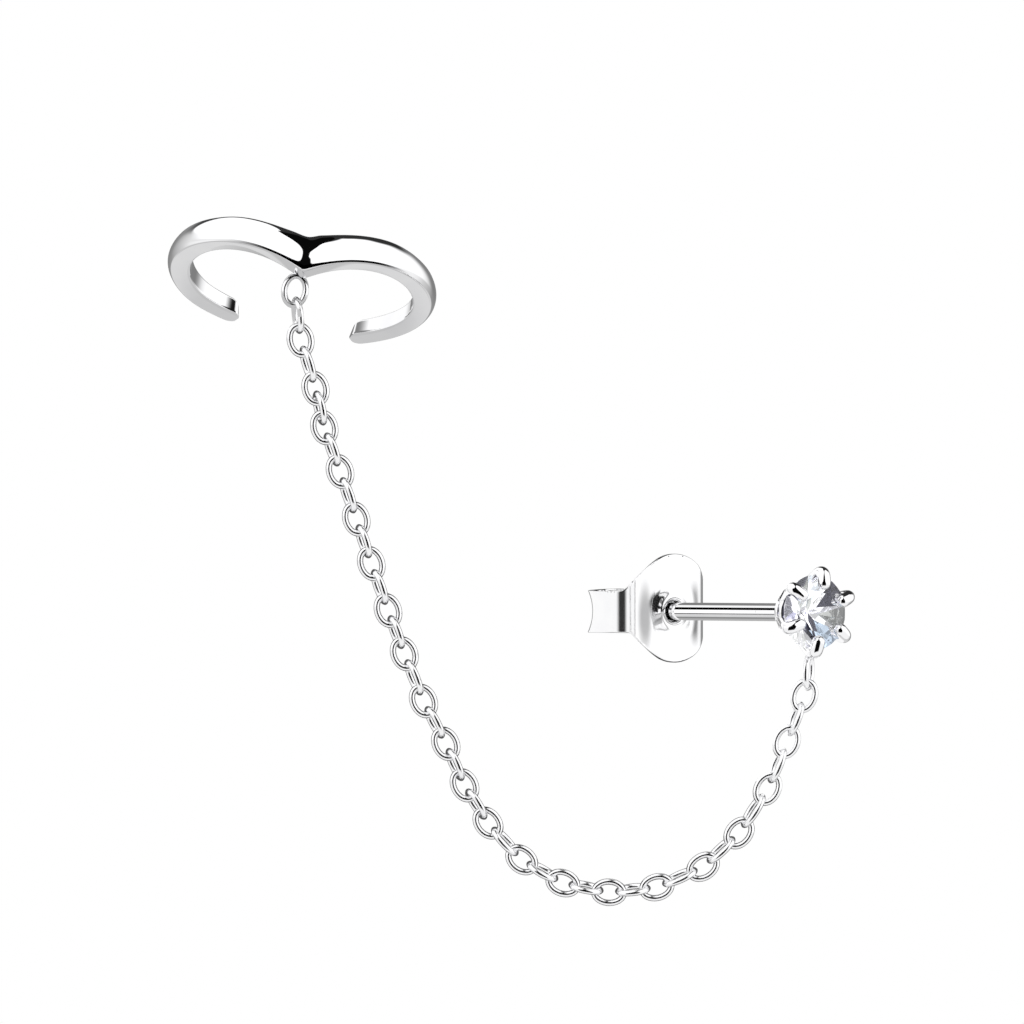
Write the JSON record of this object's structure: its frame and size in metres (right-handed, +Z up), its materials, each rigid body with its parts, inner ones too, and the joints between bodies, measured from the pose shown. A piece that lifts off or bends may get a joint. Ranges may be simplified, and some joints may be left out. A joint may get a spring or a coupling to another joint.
{
  "type": "ear chain earring",
  "caption": "Round crystal stud with a scroll nut on its post, joined by a draped fine cable chain to an open ear cuff with a wishbone front.",
  "frame": {"origin": "on the post's axis at the setting's back face, where the earlobe rests", "axes": "+Y along the post from the setting to its tip, +Z up, the crystal faces -Y; the chain hangs in an upright plane turned 35 degrees from the crystal's plane"},
  "size_m": [0.0208, 0.0221, 0.0275],
  "materials": {
    "silver": "polished",
    "crystal": "clear, faceted"
  },
  "bodies": {
    "root": {"ear_cuff": "silver", "chain": "silver", "stud_setting": "silver", "crystal": "crystal"},
    "nut": {"ear_nut": "silver"}
  },
  "joints": [
    {"name": "nut_slide", "type": "slide", "parent": "root", "child": "nut", "axis": [0, 1, 0], "range_m": [-0.0075, 0.005]}
  ]
}
